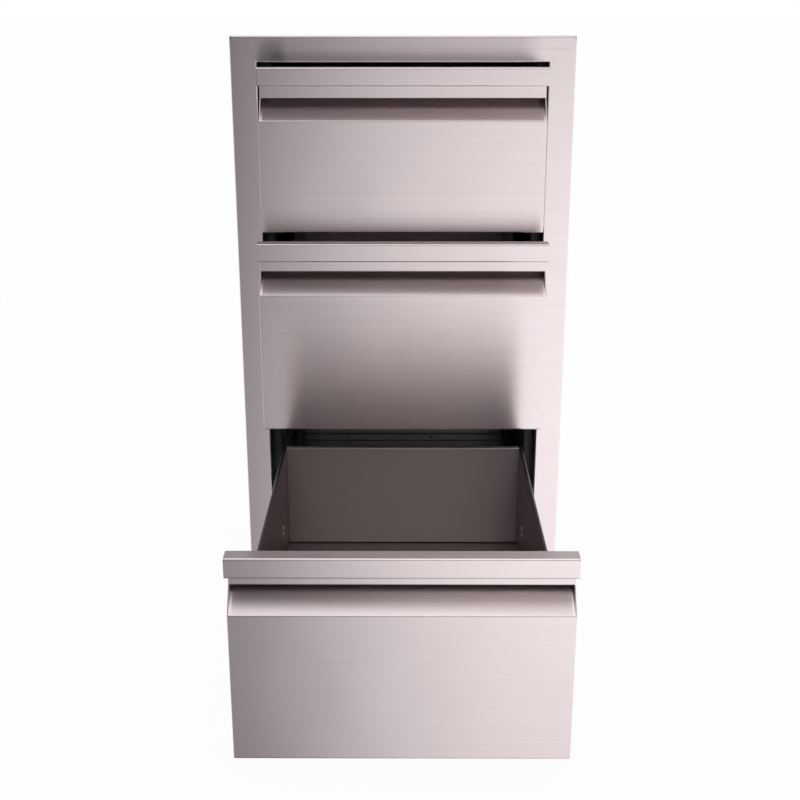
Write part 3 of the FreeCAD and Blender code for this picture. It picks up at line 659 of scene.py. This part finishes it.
# Section of the frame: outer return, face, collar. Each of its points is a rectangle round the opening,
# with half sides openingHalf + u, and the rails are narrower than the stiles. The top rail is sprung:
# over the opening its face comes forwards by lean * s + swell * s^5, where s runs from 0 at the frame's
# top to 1 at the opening's edge, and less over the last 36 mm at each end
def makeFaceFrame():
    f = faceFrame
    low, high = boxOf("face_frame")
    openX, openZ = f["openingHalf"]
    stile = high[0] - openX
    rail = (high[2] - low[2]) / 2 - openZ
    middleZ = (high[2] + low[2]) / 2
    line = [(stile, f["edgeReturn"]), (stile, 0.0), (0.0, 0.0), (0.0, f["collar"])]
    places, normals = bentLine(line, [f["bend"], 0.0], f["sheet"], longest=f["longest"])
    t = np.linspace(-1, 1, f["perSide"] + 1)[:-1]
    edge = np.ones_like(t)
    across, upward = np.concatenate([t, edge, -t, -edge]), np.concatenate([-edge, t, edge, -t])

    def sprung(x, z, depth):
        s = (high[2] - z) / rail
        onFace = (s < 1 + hair / rail) & (depth < f["sheet"] * f["faceShare"])
        over = np.clip((openX - abs(x)) / f["swellEnds"], 0, 1)
        over = over * over * (3 - 2 * over) * onFace
        return -(f["lean"] * s + f["swell"] * s ** f["swellPower"]) * over

    def ring(u, depth):
        narrower = np.where(u > stile / 2, stile - rail, 0.0)
        x = (openX + u)[:, None] * across
        z = middleZ + (openZ + u - narrower)[:, None] * upward
        return np.stack([x, low[1] + depth[:, None] + sprung(x, z, depth[:, None]), z], -1)

    inside = places - f["sheet"] * normals
    grid = np.concatenate([ring(*places.T), ring(*inside.T)[::-1]])
    quads = gridQuads(*grid.shape[:2], closedRows=True, closedColumns=True)
    shells = [(grid.reshape(-1, 3), quads, [])]
    stud = threadedRings(f["studRadius"], 0.0, f["studLength"] + f["studSunk"], f["threadPitch"],
                         f["threadDepth"], thread["studColumns"])
    for nutLow, nutHigh in solidBoxes("frame_nuts"):
        foot = (nutLow + nutHigh) / 2
        foot[1] = low[1] + f["sheet"] - f["studSunk"]
        shells.append(turnedShell(*stud, foot, (0, 1, 0)))
    makePiece("foldedFaceFrame", "face_frame", shells, satin, merge=1e-6)


makeFaceFrame()
print("face frame folded")


# Fasteners, in millimetres. Profiles are (radius, place along the axis), from the head to the tail,
# 0 under the head
fasteners = {
    "rivetHead": [(0.05, -0.5), (0.9, -0.5), (0.95, -1.24), (1.15, -1.3), (1.7, -1.22), (2.35, -1.0),
                  (2.85, -0.66), (3.12, -0.3), (3.2, -0.06), (3.15, 0.0), (1.6, 0.0)],
    "rivetTail": [(1.6, 0.0), (2.3, 0.02), (2.4, 0.2), (2.38, 0.6), (2.1, 1.0), (1.5, 1.25),
                  (0.8, 1.3), (0.75, 1.05), (0.05, 1.0)],
    "headHeight": {"rivet": 1.3, "screw": 1.2}, "tail": {"rivet": 1.3, "screw": 3.0},
    "rivetColumns": 24,
    "screwHead": 3.5, "screwHeadFoot": 3.46, "domeFall": 0.45, "domePower": 2.6,
    "screwRings": [0.04, 0.2, 0.36, 0.46, 0.6, 0.9, 1.2, 1.5, 1.68, 1.8, 2.2, 2.8, 3.2, 3.42, 3.5],
    "crossHalf": 0.42, "crossEase": 0.12, "crossLength": 1.75, "crossEndEase": 0.3, "crossDepth": 0.8,
    "screwColumns": 48, "screwRadius": 2.0, "threadPitch": 0.9, "threadDepth": 0.35,
    "nutFlats": 7.0, "nutFace": 0.97, "nutChamfer": 0.55, "nutBore": 2.05, "boreEase": 0.3,
    "nutColumns": 48, "sharp": 40.0,
}


def rivetShell(head, axis, grip):
    r = fasteners
    tail = [(radius, along + grip) for radius, along in r["rivetTail"]]
    radius, along = np.array(r["rivetHead"] + tail).T
    columns = np.ones((1, r["rivetColumns"]))
    return [turnedShell(radius[:, None] * columns, along[:, None] * columns, head, axis)]


# Pan head: height = 1.2 * (1 - 0.45 (r / 3.5)^2.6), less the cross recess, whose arms are bounded by
# straight slopes
def screwShell(head, axis, grip):
    s = fasteners
    angle = np.linspace(0, 2 * np.pi, s["screwColumns"], endpoint=False)[None]
    r = np.array(s["screwRings"])[:, None]
    x, y = abs(r * np.cos(angle)), abs(r * np.sin(angle))
    narrow = np.clip((s["crossHalf"] - np.minimum(x, y)) / s["crossEase"], 0, 1)
    reach = np.clip((s["crossLength"] - np.maximum(x, y)) / s["crossEndEase"], 0, 1)
    dome = s["headHeight"]["screw"] * (1 - s["domeFall"] * (r / s["screwHead"]) ** s["domePower"])
    height = dome - s["crossDepth"] * narrow * reach
    ones = np.ones_like(angle)
    pin = threadedRings(s["screwRadius"], grip, grip + s["tail"]["screw"], s["threadPitch"],
                        s["threadDepth"], s["screwColumns"])
    radius = [r * ones, s["screwHeadFoot"] * ones, s["screwRadius"] * ones, pin[0]]
    along = [-height, 0.0 * ones, 0.0 * ones, pin[1]]
    return [turnedShell(np.concatenate(radius), np.concatenate(along), head, axis)]


# Hexagon: flats / 2 / cos(angle from the middle of a flat), its corners cut by a cone at both ends
def nutShell(centre, axis, height):
    n = fasteners
    angle = np.linspace(0, 2 * np.pi, n["nutColumns"], endpoint=False)
    hexagon = n["nutFlats"] / 2 / np.cos((angle + np.pi / 6) % (np.pi / 3) - np.pi / 6)
    flat = np.full_like(angle, n["nutFlats"] / 2 * n["nutFace"])
    cut = (hexagon - flat) * n["nutChamfer"]
    bore = np.full_like(angle, n["nutBore"])
    top = np.full_like(angle, height)
    radius = [bore, flat, hexagon, hexagon, flat, bore + n["boreEase"], bore]
    along = [0 * top, 0 * top, cut, top - cut, top, top, top - n["boreEase"]]
    points, _, _ = turnedShell(np.stack(radius), np.stack(along), centre, axis)
    quads = gridQuads(len(radius), n["nutColumns"], closedRows=True, closedColumns=True)
    return [(points, quads, [])]


# Each solid's box gives its place. axisAt says which way it points, from under its head into the metal
def makeFasteners(name, node, kind, axisAt, material=fastener):
    shells = []
    for low, high in solidBoxes(node):
        axis = np.array(axisAt((low + high) / 2, high - low), float)
        along = int(np.argmax(abs(axis)))
        first, last = (low, high) if axis[along] > 0 else (high, low)
        head = (low + high) / 2
        length = abs(last[along] - first[along])
        if kind == "nut":
            head[along] = first[along]
            shells += nutShell(head, axis, length)
            continue
        over, tail = fasteners["headHeight"][kind], fasteners["tail"][kind]
        head[along] = first[along] + axis[along] * over
        shells += {"rivet": rivetShell, "screw": screwShell}[kind](head, axis, length - over - tail)
    makePiece(name, node, shells, material, sharp=fasteners["sharp"])


# Across the case a rivet is thinner along x than it is wide, otherwise it points forwards
def drawerRivetAxis(centre, size):
    return (np.sign(centre[0]), 0, 0) if size[0] < size[1] else (0, -1, 0)


def caseRivetAxis(centre, size):
    return (-np.sign(centre[0]), 0, 0) if size[0] < size[1] else (0, -1, 0)


makeFasteners("stud_nuts", "frame_nuts", "nut", lambda centre, size: (0, 1, 0))
makeFasteners("post_rivets", "case_rivets", "rivet", caseRivetAxis)
makeFasteners("panel_screws", "back_screws", "screw", lambda centre, size: (0, -1, 0))
makeFasteners("runner_screws", "slide_screws", "screw", lambda centre, size: (np.sign(centre[0]), 0, 0))
# The drawer boxes' rivets take the steel lightened as a painted highlight
for drawer in drawerNames:
    makeFasteners(drawer + "BoxRivets", drawer + "_rivets", "rivet", drawerRivetAxis, rivetPaintedHighlight)
print("fasteners made")


# Light: a soft studio, bright in front and to the right, darker to the left, dark in a band above level
# and bright straight overhead. Behind the cabinet it is even
studio = {
    "strength": 2.05,
    "tint": (1.0, 0.985, 0.985, 1),
    # strength by sideways direction: 0 is far left, 0.5 straight ahead, 1 far right
    "sideways": [(0.0, 0.50), (0.25, 0.32), (0.38, 0.12), (0.43, 0.195), (0.455, 0.42), (0.5, 0.74),
                 (0.55, 0.94), (0.58, 1.0), (0.75, 1.0), (1.0, 0.9)],
    # strength by height: 0 is straight down, 0.5 level, 1 overhead
    "upward": [(0.0, 0.30), (0.215, 0.44), (0.25, 0.55), (0.28, 0.80), (0.34, 0.75), (0.40, 0.695),
               (0.46, 0.625), (0.50, 0.58), (0.535, 0.32), (0.57, 0.14), (0.62, 0.10), (0.77, 0.10),
               (0.84, 0.50), (0.90, 0.80), (0.975, 0.60), (0.99, 0.55), (1.0, 1.0)],
    # how much of the light is the same from side to side, by height
    "even": [(0.0, 0.0), (0.20, 0.06), (0.24, 0.14), (0.28, 0.24), (0.33, 0.05), (0.37, 0.0),
             (0.75, 0.0), (0.97, 0.95)],
    # how much of it is behindShade, by distance behind the cabinet and by height
    "behind": [(0.0, 0.0), (0.55, 0.0), (0.75, 0.8), (1.0, 0.8)],
    "behindHeight": [(0.0, 1.0), (0.56, 1.0), (0.64, 0.25), (0.92, 0.25), (1.0, 1.0)],
    "behindShade": (0.5, 0.5, 0.5, 1),
    "poleEase": 0.0001,     # keeps the sideways direction from dividing by nothing straight up and down
}
white = (1, 1, 1, 1)


def makeLight(s):
    world = bpy.data.worlds.new("studio")
    bpy.context.scene.world = world
    g = Graph(world)
    toward = g.add("ShaderNodeTexCoord", out="Generated")
    parts = g.add("ShaderNodeSeparateXYZ", {}, {0: toward})
    x, y, z = (Value(g, parts.socket.node.outputs[i]) for i in range(3))
    level = (x * x + y * y + s["poleEase"]) ** 0.5
    height = z * 0.5 + 0.5
    sideways = g.ramp(x / level * 0.5 + 0.5, s["sideways"])
    sideways = g.mixed(g.ramp(height, s["even"]), sideways, white)
    colour = g.mixed(1.0, sideways, g.ramp(height, s["upward"]), "MULTIPLY")
    behind = g.ramp(y * 0.5 + 0.5, s["behind"]) * g.ramp(height, s["behindHeight"])
    colour = g.mixed(behind, colour, s["behindShade"])
    colour = g.mixed(1.0, colour, s["tint"], "MULTIPLY")
    soft = g.add("ShaderNodeBackground", {}, {"Color": colour, "Strength": s["strength"]})
    backdrop = g.add("ShaderNodeBackground", {}, {"Color": white, "Strength": 1.0})
    seen = g.add("ShaderNodeLightPath", out="Is Camera Ray")
    g.add("ShaderNodeOutputWorld", {}, {"Surface": g.mixedShader(seen, soft, backdrop)})


# The floor glows nearly white to the camera, keeps the cabinet's shadow and isn't mirrored in the steel
paleFloor = {"height": -0.0236, "size": 60.0, "shade": (0.9, 0.9, 0.9, 1), "glow": 0.96}


def makeFloor(f):
    half = f["size"] / 2
    mesh = bpy.data.meshes.new("floor")
    corners = [(-half, -half), (half, -half), (half, half), (-half, half)]
    mesh.from_pydata([(x, y, f["height"]) for x, y in corners], [], [(0, 1, 2, 3)])
    floor = bpy.data.objects.new("floor", mesh)
    bpy.context.collection.objects.link(floor)
    material = bpy.data.materials.new("paleFloor")
    g = Graph(material)
    pale = g.add("ShaderNodeBsdfDiffuse", {}, {"Color": f["shade"]})
    glow = g.add("ShaderNodeEmission", {}, {"Color": white, "Strength": 1.0})
    clear = g.add("ShaderNodeBsdfTransparent")
    cameraRay = g.add("ShaderNodeLightPath", out="Is Camera Ray")
    glossyRay = g.add("ShaderNodeLightPath", out="Is Glossy Ray")
    seen = g.mixedShader(cameraRay, pale, g.mixedShader(f["glow"], pale, glow))
    g.add("ShaderNodeOutputMaterial", {}, {"Surface": g.mixedShader(glossyRay, seen, clear)})
    mesh.materials.append(material)


makeLight(studio)
makeFloor(paleFloor)
print("studio lit")
